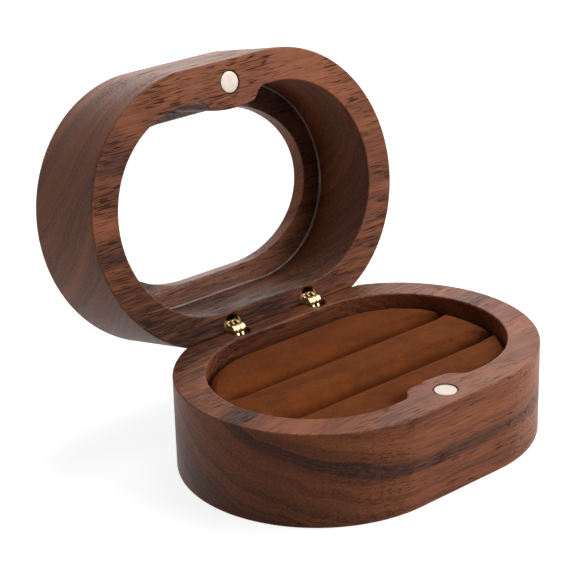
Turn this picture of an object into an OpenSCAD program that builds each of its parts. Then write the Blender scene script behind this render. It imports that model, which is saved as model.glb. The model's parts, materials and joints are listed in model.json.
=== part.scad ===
// Ring display box: a walnut base and a windowed lid of the same stadium outline,
// joined at the back by two brass barrel hinges and kept shut by a pair of magnets.
// X is the long axis, the magnets are at the front (-Y), the hinges at the back (+Y).
// The origin is the centre of the underside. The lid is drawn open, against its stop.

/* [Box] */
// Overall length
box_l = 87; // [80:0.5:110]
// Overall width
box_w = 63; // [56:0.5:80]
// Height of the base
base_h = 21.5; // [19:0.5:34]
// Height of the lid
lid_h = 22.5; // [21:0.5:34]
// Wall at the straight sides
side_wall = 7.6; // [7:0.1:9]
// Wall at the round ends
end_wall = 7; // [5:0.1:10]
// Floor under the cushions
floor_t = 4; // [2:0.1:6]
// Gap left between the two rims when the box is shut
rim_gap = 0.05; // [0.02:0.01:0.3]

/* [Window] */
// Thickness of the lid's top panel
panel_t = 4; // [2:0.1:5]
// Width of the ledge that the pane rests on
ledge_w = 5.1; // [4:0.1:7]
// Share of the window's length that its round ends take
window_round = 0.75; // [0.6:0.01:1]
// Thickness of the pane
pane_t = 1; // [0.8:0.1:3]
// Gap round the edge of the pane
pane_gap = 0.15; // [0.05:0.05:0.4]

/* [Magnets] */
// Diameter of each magnet
magnet_d = 5; // [3:0.1:6]
// Thickness of each magnet
magnet_t = 2; // [1:0.1:4]
// From the front face to the middle of the magnets
magnet_inset = 5.1; // [4.5:0.1:6]
// Gap round each magnet in its pocket
magnet_gap = 0.2; // [0.05:0.05:0.4]
// How far each magnet sits below its rim
magnet_sink = 0.1; // [0.05:0.05:0.5]

/* [Boss] */
// How far each magnet boss stands into the hollow
boss_rise = 3.5; // [2.5:0.1:4]
// Radius of the boss's slightly round face
boss_r = 28; // [20:1:60]
// Distance between the middles of the boss's round shoulders
boss_span = 10.4; // [8:0.2:14]
// Radius of those shoulders
shoulder_r = 2.2; // [1.5:0.1:4]
// Radius of the sweep from the boss into the wall
sweep_r = 3.6; // [2:0.1:6]

/* [Cushions] */
// How far the crowns of the cushions lie below the rim
cushion_sink = 2.9; // [2:0.1:6]
// How much higher a crown is than the lips of the slots
crown_rise = 1; // [0.6:0.1:4]
// Width of each ring slot
slot_w = 0.6; // [0.4:0.1:3]
// Gap between the cushions and the walls
cushion_gap = 0.35; // [0.2:0.05:1]
// Thickness of the card under the cushions
board_t = 1.2; // [0.6:0.1:2]

/* [Hinges] */
// Distance between the two hinges
hinge_span = 23; // [16:0.5:30]
// Angle at which the bevels stop the lid
open_angle = 103; // [95:1:110]
// From the back face to the line that the lid turns about
pivot_inset = 2.95; // [2.7:0.05:3.2]
// How far that line lies below the rim of the base
pivot_drop = 0.5; // [0:0.1:0.6]
// Angle by which the two bevels stay apart when the lid is open
bevel_ease = 0.4; // [0.2:0.1:1]
// Diameter of each barrel
barrel_d = 5; // [4.8:0.1:5.4]
// Length of each barrel
barrel_l = 7; // [5:0.1:9]
// Glue gap round each barrel
barrel_gap = 0.05; // [0.02:0.01:0.15]
// Air under each barrel in its bore
bore_air = 0.3; // [0.1:0.1:1]
// From the pivot line forward to the middle of the barrels
barrel_fore = 1.3; // [1.2:0.05:1.45]
// From the pivot line down to the mouth of each barrel
barrel_mouth = 0.6; // [0.55:0.05:0.7]
// Depth of the slot in each barrel
barrel_slot = 3.9; // [3.6:0.1:4.5]

/* [Leaves] */
// Thickness of one leaf
leaf_t = 0.6; // [0.4:0.05:0.65]
// Gap between two leaves
leaf_gap = 0.08; // [0.04:0.01:0.1]
// Gap between the outer leaves and the cheeks of the barrel
cheek_gap = 0.09; // [0.05:0.01:0.12]
// Radius of the disc at the middle of a leaf
disc_r = 1.1; // [0.9:0.05:1.15]
// Radius of a leaf round its barrel pin
heel_r = 0.7; // [0.6:0.05:0.75]
// Radius of a leaf round its slide pin
toe_r = 0.5; // [0.4:0.05:0.55]
// From the pivot line forward to a barrel pin
pin_fore = 0.4; // [0.35:0.05:0.45]
// From the pivot line down to a barrel pin
pin_drop = 1.4; // [1.3:0.05:1.5]
// From the pivot line forward to where the leaves cross, box shut
cross_fore = 2; // [1.9:0.05:2.05]
// Length of a leaf from its disc to its slide pin
toe_l = 2.6; // [2.4:0.05:2.7]
// Bend of a leaf at its disc
leaf_bend = 70; // [66:1:74]
// Share of the lid's turn that a leaf makes against its own barrel
leaf_share = 0.43; // [0.42:0.01:0.45]
// Angle that evens out the play at the centre pin over the travel
leaf_trim = 2.4; // [1.8:0.1:3]
// Diameter of the centre pin
centre_pin_d = 0.8; // [0.6:0.05:1]
// Play of the centre pin in the leaves that it doesn't grip
centre_play = 0.22; // [0.2:0.01:0.3]
// Diameter of the barrel pins
barrel_pin_d = 0.7; // [0.5:0.05:0.8]
// Diameter of the slide pins
slide_pin_d = 0.5; // [0.4:0.05:0.6]
// Play of a slide pin across its groove
slide_play = 0.12; // [0.08:0.01:0.2]
// Running gap of a pin in its hole
pin_gap = 0.02; // [0.01:0.01:0.04]

/* [Hidden] */
$fn = 96;

// Overlap of a cut past the face that it opens
cut = 1;
// Number of sides of the window's outline
oval_n = 72;
// The hollow that both halves share
hollow_l = box_l - 2 * end_wall;
hollow_w = box_w - 2 * side_wall;
// The window in the lid's panel
window_l = hollow_l - 2 * ledge_w;
window_w = hollow_w - 2 * ledge_w;
// The line that the lid turns about
pivot = [0, box_w / 2 - pivot_inset, base_h - pivot_drop];
// Half the angle between the bevels of the open box
bevel_angle = (open_angle + bevel_ease) / 2;
// Middle of the magnets
magnet_y = magnet_inset - box_w / 2;
pocket_depth = magnet_t + magnet_sink;
// Cushions: the bed that they lie on, their crown and the width of one
bed_z = floor_t + board_t;
crown_z = base_h - cushion_sink;
roll_w = (hollow_w - 2 * cushion_gap - 2 * slot_w) / 3;
roll_pitch = roll_w + slot_w;
// Hinges: the slot in a barrel takes five leaves
leaf_n = 5;
leaf_pitch = leaf_t + leaf_gap;
stack_w = leaf_n * leaf_t + (leaf_n - 1) * leaf_gap;
barrel_slot_w = stack_w + 2 * cheek_gap;
// A bore reaches from the rim of the base past the end of the barrel
bore_end = barrel_mouth + barrel_l + bore_air;
// Seen from the side, as [forward-to-back, up] from the pivot line
barrel_pin_at = [-pin_fore, -pin_drop];
heel_l = norm([cross_fore - pin_fore, pin_drop]);
shut_lean = atan2(pin_drop, pin_fore - cross_fore) - leaf_trim;
// Slide pins end inside the cheeks, barrel pins just under the barrel's skin
cheek_bite = 0.4;
slide_pin_l = barrel_slot_w + 2 * cheek_bite;
barrel_pin_l = 2 * sqrt(pow(barrel_d / 2, 2) - pow(barrel_fore - pin_fore + barrel_pin_d / 2, 2)) - 0.1;

// A point turned about the pivot line
function turned(p, a) = [p.x * cos(a) - p.y * sin(a), p.x * sin(a) + p.y * cos(a)];
// Lean of a leaf against its own barrel, with the lid at an angle
function lean(a) = shut_lean - leaf_share * a;
// Where the disc and the slide pin of a leaf are, seen from its own barrel
function disc_at(a) = barrel_pin_at + heel_l * [cos(lean(a)), sin(lean(a))];
function toe_at(a) = disc_at(a) + toe_l * [cos(lean(a) - leaf_bend), sin(lean(a) - leaf_bend)];
// Where the other barrel carries that slide pin, mirrored to this side
function slide_at(a) = let (p = turned(toe_at(a), a)) [p.x, -p.y];

// Outline of an arc, from one angle to another
function arc(c, r, a0, a1, n = 12) =
    [for (i = [0:n]) let (a = a0 + (a1 - a0) * i / n) c + r * [cos(a), sin(a)]];

module stadium(l, w) {
    square([l - w, w], center = true);
    for (s = [-1, 1]) translate([s * (l - w) / 2, 0]) circle(d = w);
}

// A stadium with its round ends drawn out: share is how much of its length is round
module oval(l, w, share) {
    round_l = share * l / 2;
    polygon([
        for (i = [0.5:oval_n]) let (a = 360 * i / oval_n)
            [sign(cos(a)) * (l / 2 - round_l) + round_l * cos(a), w / 2 * sin(a)]
    ]);
}

// The boss: its face, two round shoulders and a sweep on each side into the wall.
// grow is how far the outline stands off the boss.
module boss(grow = 0) {
    wall_y = -hollow_w / 2;
    face = [0, wall_y + boss_rise - boss_r];
    face_turn = asin(boss_span / 2 / (boss_r - shoulder_r));
    shoulder = face + (boss_r - shoulder_r) * [sin(face_turn), cos(face_turn)];
    turn = acos((wall_y + sweep_r - shoulder.y) / (shoulder_r + sweep_r));
    sweep = shoulder + (shoulder_r + sweep_r) * [sin(turn), cos(turn)];
    side = concat(
        arc(face, boss_r + grow, 90, 90 - face_turn, 6),
        arc(shoulder, shoulder_r + grow, 90 - face_turn, 90 - turn),
        arc(sweep, sweep_r - grow, 270 - turn, 270)
    );
    polygon(concat(
        [[-sweep.x, wall_y - cut]],
        [for (i = [len(side) - 1:-1:1]) [-side[i].x, side[i].y]],
        side,
        [[sweep.x, wall_y - cut]]
    ));
}

// The hollow seen from above, drawn in by a gap all round
module hollow_outline(gap = 0) {
    difference() {
        stadium(hollow_l - 2 * gap, hollow_w - 2 * gap);
        boss(gap);
    }
}

// Turns what belongs to the lid from shut to open
module opened() {
    translate(pivot) rotate([-open_angle, 0, 0]) translate(-pivot) children();
}

// Lays a side view, drawn from the pivot line, across X as a plate of thickness t
module plate(t) {
    rotate([90, 0, 90]) translate([0, 0, -t / 2]) linear_extrude(t) children();
}

// Puts the parts of a hinge on the pivot line, at the base or mirrored in the open lid
module hinge_side(x, in_lid) {
    if (in_lid)
        opened() translate(pivot) translate([x, 0, 0]) mirror([0, 0, 1]) children();
    else
        translate(pivot) translate([x, 0, 0]) children();
}

// Everything behind and above the bevel, as a cutter along the whole back edge
module bevel_cutter() {
    reach = pivot_inset + cut;
    top = pivot_drop + cut;
    plate(box_l)
        polygon([
            [-top / tan(bevel_angle), top],
            [reach, top],
            [reach, -reach * tan(bevel_angle)]
        ]);
}

// The two bores for the barrels, open at the rim
module barrel_bores() {
    for (s = [-1, 1])
        translate([s * hinge_span / 2, -barrel_fore, -bore_end])
            cylinder(d = barrel_d + 2 * barrel_gap, h = bore_end + pivot_drop + cut);
}

module base_body() {
    color("#6b4030") difference() {
        linear_extrude(base_h) stadium(box_l, box_w);
        translate([0, 0, floor_t]) linear_extrude(base_h) hollow_outline();
        translate([0, magnet_y, base_h - pocket_depth])
            cylinder(d = magnet_d + 2 * magnet_gap, h = pocket_depth + cut);
        translate(pivot) {
            bevel_cutter();
            barrel_bores();
        }
    }
}

module lid_body() {
    rim_z = base_h + rim_gap;
    color("#6b4030") opened() difference() {
        translate([0, 0, rim_z]) linear_extrude(lid_h) stadium(box_l, box_w);
        translate([0, 0, rim_z - cut])
            linear_extrude(lid_h - panel_t + cut) hollow_outline();
        translate([0, 0, rim_z + lid_h - panel_t - cut])
            linear_extrude(panel_t + 2 * cut) oval(window_l, window_w, window_round);
        translate([0, magnet_y, rim_z - cut])
            cylinder(d = magnet_d + 2 * magnet_gap, h = pocket_depth + cut);
        translate(pivot) mirror([0, 0, 1]) {
            bevel_cutter();
            barrel_bores();
        }
    }
}

module window_pane() {
    color("#dfe8ea", 0.4) opened()
        translate([0, 0, base_h + rim_gap + lid_h - panel_t - pane_t])
            linear_extrude(pane_t) hollow_outline(pane_gap);
}

module magnet(z) {
    color("#e3d8cb") translate([0, magnet_y, z]) cylinder(d = magnet_d, h = magnet_t);
}

module base_magnet() {
    magnet(base_h - pocket_depth);
}

module lid_magnet() {
    opened() magnet(base_h + rim_gap + magnet_sink);
}

// One roll: a block with a crowned top, cut to the outline of the hollow.
// row is -1 at the front, 0 in the middle and 1 at the back.
module cushion(row) {
    half = roll_w / 2;
    lip_z = crown_z - crown_rise;
    crown_r = (half * half + crown_rise * crown_rise) / (2 * crown_rise);
    spread = asin(half / crown_r);
    color("#6b3715") intersection() {
        translate([0, row * roll_pitch, 0]) plate(box_l)
            polygon(concat(
                [[-half, bed_z], [half, bed_z]],
                arc([0, crown_z - crown_r], crown_r, 90 - spread, 90 + spread, 24)
            ));
        linear_extrude(base_h) hollow_outline(cushion_gap);
    }
}

module cushion_board() {
    color("#b9a98c") translate([0, 0, floor_t])
        linear_extrude(board_t) hollow_outline(cushion_gap);
}

// Side view of a bar with round ends, from one point to another
module bar(p, q, w) {
    d = q - p;
    translate(p) rotate(atan2(d.y, d.x)) translate([0, -w / 2]) square([norm(d), w]);
    for (c = [p, q]) translate(c) circle(d = w);
}

// Side view of a groove of radius r, from one point to another
module groove(p, q, r) {
    a = atan2(q.y - p.y, q.x - p.x);
    polygon(concat(arc(p, r, a + 90, a + 270, 8), arc(q, r, a - 90, a + 90, 8)));
}

// A barrel: solid at its end, slotted at its mouth, with a hole for the barrel pin,
// a groove for the slide pin and the bevel of the wood cut across its mouth
module barrel(x, in_lid) {
    color("#c89a45") hinge_side(x, in_lid) difference() {
        translate([0, -barrel_fore, -barrel_mouth - barrel_l])
            cylinder(d = barrel_d, h = barrel_l);
        translate([-barrel_slot_w / 2, -barrel_fore - barrel_d, -barrel_mouth - barrel_slot])
            cube([barrel_slot_w, 2 * barrel_d, barrel_slot + cut]);
        plate(2 * barrel_d) translate(barrel_pin_at) circle(d = barrel_pin_d);
        plate(2 * barrel_d)
            groove(slide_at(0), slide_at(open_angle), slide_pin_d / 2 + slide_play);
        bevel_cutter();
    }
}

// A leaf: heel at its barrel pin, disc at the centre pin, toe at its slide pin
module leaf(x, i) {
    in_lid = i % 2 == 0;
    disc_hole = in_lid ? centre_pin_d + 2 * centre_play : centre_pin_d;
    heel = barrel_pin_at;
    disc = disc_at(open_angle);
    toe = toe_at(open_angle);
    color(in_lid ? "#d9b25c" : "#cfa44f")
        hinge_side(x + (i - (leaf_n + 1) / 2) * leaf_pitch, in_lid)
            plate(leaf_t) difference() {
                union() {
                    bar(heel, disc, 2 * heel_r);
                    bar(disc, toe, 2 * toe_r);
                    translate(disc) circle(r = disc_r);
                }
                translate(heel) circle(d = barrel_pin_d + 2 * pin_gap);
                translate(disc) circle(d = disc_hole);
                translate(toe) circle(d = slide_pin_d);
            }
}

// A pin through a point of the side view
module pin(x, in_lid, at, d, l) {
    color("#a67c33") hinge_side(x, in_lid) translate([0, at.x, at.y])
        rotate([0, 90, 0]) cylinder(d = d, h = l, center = true);
}

// Pins: the centre pin holds the leaves of the base barrel together
module centre_pin(x) {
    pin(x, false, disc_at(open_angle), centre_pin_d, stack_w);
}

module barrel_pin(x, in_lid) {
    pin(x, in_lid, barrel_pin_at, barrel_pin_d, barrel_pin_l);
}

// The slide pin that runs in a barrel is carried by the leaves of the other barrel
module slide_pin(x, in_lid) {
    pin(x, !in_lid, toe_at(open_angle), slide_pin_d, slide_pin_l);
}

base_body();
lid_body();
window_pane();
base_magnet();
lid_magnet();
cushion(-1);  // cushion_front
cushion(0);  // cushion_middle
cushion(1);  // cushion_back
cushion_board();
for (s = [-1, 1]) {
    side = s < 0 ? "left" : "right";
    x = s * hinge_span / 2;
    barrel(x, false);
    barrel(x, true);
    for (i = [1:leaf_n])
        leaf(x, i);
    centre_pin(x);
    barrel_pin(x, false);
    barrel_pin(x, true);
    slide_pin(x, false);
    slide_pin(x, true);
}
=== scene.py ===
"""Ring display box: walnut base and windowed lid, suede ring cushions, brass barrel hinges.

The looks of the box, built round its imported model. Shapes are worked out in millimetres with
the box shut and upright, X along the grain, and what belongs to the lid is then turned open.
"""

import json
import math

import bmesh
import bpy
import numpy as np
from bpy.props import FloatProperty, FloatVectorProperty, PointerProperty
from mathutils import Matrix, Vector


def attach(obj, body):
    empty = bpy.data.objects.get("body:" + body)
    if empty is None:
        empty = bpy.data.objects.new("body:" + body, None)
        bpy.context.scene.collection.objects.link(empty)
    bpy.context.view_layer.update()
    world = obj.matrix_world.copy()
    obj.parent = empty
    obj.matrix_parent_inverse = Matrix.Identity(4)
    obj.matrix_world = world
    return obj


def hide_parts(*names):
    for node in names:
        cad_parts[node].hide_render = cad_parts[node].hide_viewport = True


bl_info = {
    "name": "Ring display box",
    "version": (1, 0, 0),
    "blender": (4, 5, 0),
    "location": "3D View > Sidebar > Ring Box",
    "description": "Builds the walnut, suede, brass and pane of a ring display box",
    "category": "Object",
}

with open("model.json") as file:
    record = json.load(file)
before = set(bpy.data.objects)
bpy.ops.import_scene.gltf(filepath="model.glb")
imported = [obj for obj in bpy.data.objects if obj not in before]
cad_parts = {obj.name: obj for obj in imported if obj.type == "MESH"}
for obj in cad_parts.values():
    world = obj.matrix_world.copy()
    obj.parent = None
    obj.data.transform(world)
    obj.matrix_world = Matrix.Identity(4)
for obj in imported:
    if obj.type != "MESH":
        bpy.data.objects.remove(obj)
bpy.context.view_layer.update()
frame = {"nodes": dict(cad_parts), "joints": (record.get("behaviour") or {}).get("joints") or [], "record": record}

MM = 0.001

# ---------------------------------------------------------------------------
# Sizes read from the frame, in millimetres
# ---------------------------------------------------------------------------


def joint_named(name):
    """The frame's joint of that name."""
    return next(j for j in frame["joints"] if j["name"] == name)


LID_HINGE = joint_named("lid_hinge")
PIVOT = Vector(LID_HINGE["pos_m"]) / MM
OPEN_ANGLE = math.radians(-LID_HINGE["range_deg"][0])
OPENING = Matrix.Rotation(-OPEN_ANGLE, 4, "X")
OPENED = Matrix.Translation(PIVOT) @ OPENING @ Matrix.Translation(-PIVOT)
SHUT = OPENED.inverted()


def read_points(mesh):
    """The vertices of a mesh as an array (n, 3)."""
    points = np.empty(len(mesh.vertices) * 3, np.float32)
    mesh.vertices.foreach_get("co", points)
    return points.reshape(-1, 3).astype(float)


def write_points(mesh, points):
    """Moves the vertices of a mesh to an array (n, 3)."""
    mesh.vertices.foreach_set("co", points.ravel())
    mesh.update()


def node_box(node, shut=False):
    """Low and high corner of a CAD node in millimetres, with the box open or shut."""
    points = read_points(frame["nodes"][node].data) / MM
    if shut:
        points = moved(points, SHUT)
    return points.min(0), points.max(0)


def moved(points, matrix):
    """Points (n, 3) carried by a 4 x 4 matrix."""
    m = np.array(matrix)
    return points @ m[:3, :3].T + m[:3, 3]


BASE_LOW, BASE_HIGH = node_box("base_body")
LID_LOW, LID_HIGH = node_box("lid_body", shut=True)
PANE_LOW, PANE_HIGH = node_box("window_pane", shut=True)
BASE_MAGNET_LOW, BASE_MAGNET_HIGH = node_box("base_magnet")
LID_MAGNET_LOW, LID_MAGNET_HIGH = node_box("lid_magnet", shut=True)
BOARD_LOW, BOARD_HIGH = node_box("cushion_board")

BOX_L = BASE_HIGH[0] - BASE_LOW[0]
BOX_W = BASE_HIGH[1] - BASE_LOW[1]
BASE_H = BASE_HIGH[2]
PANE_GAP = 0.15
HOLLOW_L = PANE_HIGH[0] - PANE_LOW[0] + 2 * PANE_GAP
HOLLOW_W = 2 * (PANE_HIGH[1] + PANE_GAP)
LEDGE_W = 5.1
WINDOW_L = HOLLOW_L - 2 * LEDGE_W
WINDOW_W = HOLLOW_W - 2 * LEDGE_W
WINDOW_ROUND = 0.75
MAGNET_GAP = 0.2
MAGNET_EASE = 0.18

# The boss that holds each magnet
BOSS_RISE = 3.5
BOSS_R = 28.0
BOSS_SPAN = 10.4
SHOULDER_R = 2.2
SWEEP_R = 3.6

# Barrel bores and the bevels that stop the lid
HINGE_X = abs(joint_named("right_base_leaves_pivot")["pos_m"][0]) / MM
BARREL_FORE = 1.3
BORE_R = 2.55
BORE_END = 7.9
BEVEL_EASE = math.radians(0.4)
BEVEL_SLOPE = math.tan((OPEN_ANGLE + BEVEL_EASE) / 2)
# How softly a bevel runs into its rim, and how wide the mouth of a bore flares
BEVEL_BLEND = 0.12
MOUTH_FLARE = 0.12
# How far a cutter stands out of the rim that it opens
CUTTER_OUT = 1

# How many points each stretch of the shared path has
ARC_POINTS = 96
BACK_POINTS = 90
PLAIN_POINTS = 8
SWEEP_POINTS = 12
FACE_POINTS = 27
EASE_ROWS = 5
WALL_ROWS = 12
RIM_ROWS = 30
TURNED_POINTS = 72

# ---------------------------------------------------------------------------
# Property groups
# ---------------------------------------------------------------------------


def colour(name, description, default):
    """A colour property."""
    return FloatVectorProperty(
        name=name, description=description, default=default, subtype="COLOR", size=3, min=0, max=1
    )


def length(name, description, default):
    """A length property, in metres."""
    return FloatProperty(
        name=name, description=description, default=default, unit="LENGTH", min=0, precision=5
    )


def share(name, description, default):
    """A property between nothing and all."""
    return FloatProperty(
        name=name, description=description, default=default, subtype="FACTOR", min=0, max=1
    )


def power(name, description, default):
    """The power of a lamp, in watts."""
    return FloatProperty(name=name, description=description, default=default, unit="POWER", min=0)


class RINGBOX_PG_walnut(bpy.types.PropertyGroup):
    ease: length("Eased edge", "Radius of the sanded edges", 0.00035)
    light: colour("Light wood", "Colour of the open, light wood", (0.47, 0.150, 0.060))
    middle: colour("Middle wood", "Colour of most of the wood", (0.165, 0.044, 0.019))
    dark: colour("Dark figure", "Colour of the dark growth lines", (0.033, 0.012, 0.008))
    pore: colour("Pores", "Colour inside the open pores", (0.016, 0.006, 0.004))
    # Painted highlight: the pale colour painted along the eased edges for the light that they catch
    eased_edge: colour("Painted edge highlight", "Pale colour painted on the eased edges as their highlight", (0.50, 0.27, 0.18))
    roughness: share("Roughness", "Roughness of the oiled surface", 0.46)


class RINGBOX_PG_suede(bpy.types.PropertyGroup):
    light: colour("Light nap", "Colour where the nap lies towards the light", (0.235, 0.057, 0.010))
    dark: colour("Dark nap", "Colour where the nap lies away", (0.145, 0.033, 0.006))
    puff: length("Puff", "How far the cloth may swell past its foam", 0.0004)
    fill: share("Fill", "How tightly the cushions are stuffed", 0.8)


class RINGBOX_PG_metal(bpy.types.PropertyGroup):
    brass: colour("Brass", "Colour of the polished hinge leaves", (0.87, 0.66, 0.34))
    # Painted shade: the barrels are painted dark for the shade in the bores round them; their brass is the same as
    # the leaves'
    barrel: colour("Barrel brass with painted shade", "Dark colour painted on the hinge barrels for the shade in their bores", (0.20, 0.125, 0.05))
    nickel: colour("Nickel", "Colour of the plated magnets", (0.43, 0.375, 0.325))
    ease: length("Eased edge", "Width of the tumbled edges of the leaves", 0.0002)


class RINGBOX_PG_pane(bpy.types.PropertyGroup):
    tint: colour("Tint", "Colour of the clear pane", (0.97, 0.985, 0.98))
    ease: length("Polished edge", "Radius of the pane's polished edge", 0.00025)


class RINGBOX_PG_stage(bpy.types.PropertyGroup):
    floor: colour("Floor", "Colour of the floor", (0.52, 0.52, 0.52))
    glow: share("Floor brightness", "How much brighter the floor looks than it is lit", 0.86)
    top: power("Top light", "Power of the overhead softbox", 2.15)
    back: power("Back light", "Power of the softbox behind the box", 1.0)
    left: power("Left light", "Power of the softbox at the left", 0.3)
    front: power("Front light", "Power of the front softbox", 4.3)
    around: share("Surroundings", "Strength of the light from all round", 0.04)


# ---------------------------------------------------------------------------
# Outlines on one shared path, and surfaces between them
# ---------------------------------------------------------------------------


def boss_side():
    """One side of the boss as (x, rise) from the middle of its face out to the wall.

    The face is an arc of a wide circle. A round shoulder takes over where it turns down, and
    meets a sweep that turns back into the wall: on each of the three arcs, the point at
    angle a from the upright is centre + radius * (sin a, cos a).
    """
    face_turn = math.asin(BOSS_SPAN / 2 / (BOSS_R - SHOULDER_R))
    face_rise = BOSS_RISE - BOSS_R
    shoulder_x = BOSS_SPAN / 2
    shoulder_rise = face_rise + (BOSS_R - SHOULDER_R) * math.cos(face_turn)
    turn = math.acos((SWEEP_R - shoulder_rise) / (SHOULDER_R + SWEEP_R))
    sweep_x = shoulder_x + (SHOULDER_R + SWEEP_R) * math.sin(turn)
    a = np.linspace(0, face_turn, FACE_POINTS // 2, endpoint=False)
    b = np.linspace(face_turn, turn, SWEEP_POINTS, endpoint=False)
    c = np.linspace(turn, 0, SWEEP_POINTS)
    x = np.concatenate([
        BOSS_R * np.sin(a), shoulder_x + SHOULDER_R * np.sin(b), sweep_x - SWEEP_R * np.sin(c),
    ])
    rise = np.concatenate([
        face_rise + BOSS_R * np.cos(a), shoulder_rise + SHOULDER_R * np.cos(b),
        SWEEP_R - SWEEP_R * np.cos(c),
    ])
    return x, rise


def front_stretch(half):
    """x from -half to half along the front, close together where the boss bends, and its rise."""
    x, rise = boss_side()
    plain = np.linspace(x[-1], half, PLAIN_POINTS)[1:]
    x, rise = np.append(x, plain), np.append(rise, np.zeros(len(plain)))
    return np.append(-x[:0:-1], x), np.append(rise[:0:-1], rise)


def with_normals(points):
    """The points of a closed outline that runs anticlockwise, and its outward normals."""
    ahead, behind = np.roll(points, -1, 0) - points, points - np.roll(points, 1, 0)
    span_a = np.linalg.norm(ahead, axis=1, keepdims=True)
    span_b = np.linalg.norm(behind, axis=1, keepdims=True)
    along = ahead / span_a * span_b + behind / span_b * span_a
    along /= np.linalg.norm(along, axis=1, keepdims=True)
    return points, np.stack([along[:, 1], -along[:, 0]], 1)


def stadium(long, wide, with_boss=False, gap=0.0, round_share=None):
    """Outline of a stadium on the shared path, and its outward normals.

    The path runs round the right end, back along the far side, round the left end and
    forward along the front, with the same number of points on every outline. A gap draws
    the outline in along its normals. The ends are half circles, or half ellipses if the
    share of the length that is round is given.
    """
    deep = wide / 2
    reach = deep if round_share is None else round_share * long / 2
    c = long / 2 - reach
    a = np.linspace(-math.pi / 2, math.pi / 2, ARC_POINTS, endpoint=False)
    back = np.linspace(c, -c, BACK_POINTS, endpoint=False)
    wall_c = (BOX_L - BOX_W) / 2
    xs, rises = front_stretch(c if with_boss else wall_c)
    xs = xs if with_boss else xs * c / wall_c
    xs, rises = xs[:-1], rises[:-1]
    x = np.concatenate([c + reach * np.cos(a), back, -c - reach * np.cos(a), xs])
    front_y = -deep + (rises if with_boss else 0 * rises)
    y = np.concatenate([deep * np.sin(a), np.full(BACK_POINTS, deep), -deep * np.sin(a), front_y])
    points, normals = with_normals(np.stack([x, y], 1))
    return points - gap * normals, normals


def row(points, height):
    """One ring of points (n, 2) at a height, which may differ from point to point."""
    return np.column_stack([points, np.broadcast_to(height, len(points))])


def eased(points, normals, height, radius, inward, up):
    """Rows round an eased edge, from the wall onto the face that it meets.

    The edge is a quarter circle: at angle a the row stands radius * (1 - cos a) off the
    wall towards the face, and radius * (1 - sin a) short of the face's height.
    """
    rows = []
    for a in np.linspace(0, math.pi / 2, EASE_ROWS):
        off = points - inward * radius * (1 - math.cos(a)) * normals
        level = height(off) if callable(height) else height
        rows.append(row(off, level - up * radius * (1 - math.sin(a))))
    return rows


def between(first, last, count):
    """Rows spread evenly between two rows, without the two.

    The outermost are held close to the two rows, so that a flat face next to an eased edge
    is shaded flat.
    """
    near = min(0.2, 0.15 / np.linalg.norm(last - first, axis=1).mean())
    return [first + (last - first) * t for t in np.linspace(near, 1 - near, count)]


def grid_faces(rows, columns, wrap_rows=False):
    """Quads of a grid whose columns close round; its rows may close too."""
    i = np.arange(rows if wrap_rows else rows - 1)[:, None]
    j = np.arange(columns)[None, :]
    i2, j2 = (i + 1) % rows, (j + 1) % columns
    return np.stack([
        (i * columns + j).ravel(), (i * columns + j2).ravel(),
        (i2 * columns + j2).ravel(), (i2 * columns + j).ravel(),
    ], 1)


def mesh_from(name, verts, faces, edge_weight=None):
    """A mesh from vertices in millimetres; its faces are turned outwards if they aren't."""
    mesh = bpy.data.meshes.new(name)
    mesh.from_pydata((np.asarray(verts) * MM).tolist(), [], faces)
    mesh.validate()
    if edge_weight is not None:
        mesh.attributes.new("edge_weight", "FLOAT", "POINT").data.foreach_set("value", edge_weight)
    shell = bmesh.new()
    shell.from_mesh(mesh)
    if shell.calc_volume(signed=True) < 0:
        bmesh.ops.reverse_faces(shell, faces=shell.faces)
    shell.to_mesh(mesh)
    shell.free()
    return mesh


def ring_surface(name, rows, poles=True, eased_edge=None):
    """A closed mesh from rows of points: the ends close on poles, or the rows close in a loop.

    The rows that are named in eased_edge get 1 in the attribute edge_weight, and the others 0.
    """
    count, columns = len(rows), len(rows[0])
    verts = np.concatenate(rows)
    edge_weight = None if eased_edge is None else np.repeat(np.asarray(eased_edge, float), columns)
    faces = grid_faces(count, columns, wrap_rows=not poles).tolist()
    if poles:
        first, last = rows[0].mean(0), rows[-1].mean(0)
        verts = np.concatenate([verts, [first, last]])
        edge_weight = None if edge_weight is None else np.append(edge_weight, [0.0, 0.0])
        j = np.arange(columns)
        j2 = (j + 1) % columns
        start, end = count * columns, (count - 1) * columns
        faces += np.stack([j2, j, np.full(columns, start)], 1).tolist()
        faces += np.stack([end + j, end + j2, np.full(columns, start + 1)], 1).tolist()
    return mesh_from(name, verts, faces, edge_weight)


def joined(*sections):
    """The rows of several sections in order, and for each row whether its section lies on an eased edge."""
    rows = [level for section, _ in sections for level in section]
    return rows, [eased_edge for section, eased_edge in sections for _ in section]


def turned_surface(name, profile):
    """A solid of revolution about Z from a profile of (radius, height) between its two poles."""
    a = np.linspace(0, 2 * math.pi, TURNED_POINTS, endpoint=False)
    ring = np.stack([np.cos(a), np.sin(a)], 1)
    return ring_surface(name, [row(ring * r, z) for r, z in profile])


def link_new(name, data):
    """A new object that is linked to the scene."""
    thing = bpy.data.objects.new(name, data)
    bpy.context.scene.collection.objects.link(thing)
    return thing


def place(name, mesh, material, body, slot, *replaced, matrix=None, sharp=40):
    """Links a finished piece: its place goes into its mesh, and edges over an angle stay crisp."""
    if matrix is not None:
        metres = matrix.copy()
        metres.translation = metres.translation * MM
        mesh.transform(metres)
    mesh.materials.clear()
    mesh.materials.append(material)
    crisp_edges(mesh, sharp)
    piece = link_new(name, mesh)
    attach(piece, body)
    if replaced:
        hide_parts(*replaced)
    return piece


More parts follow.
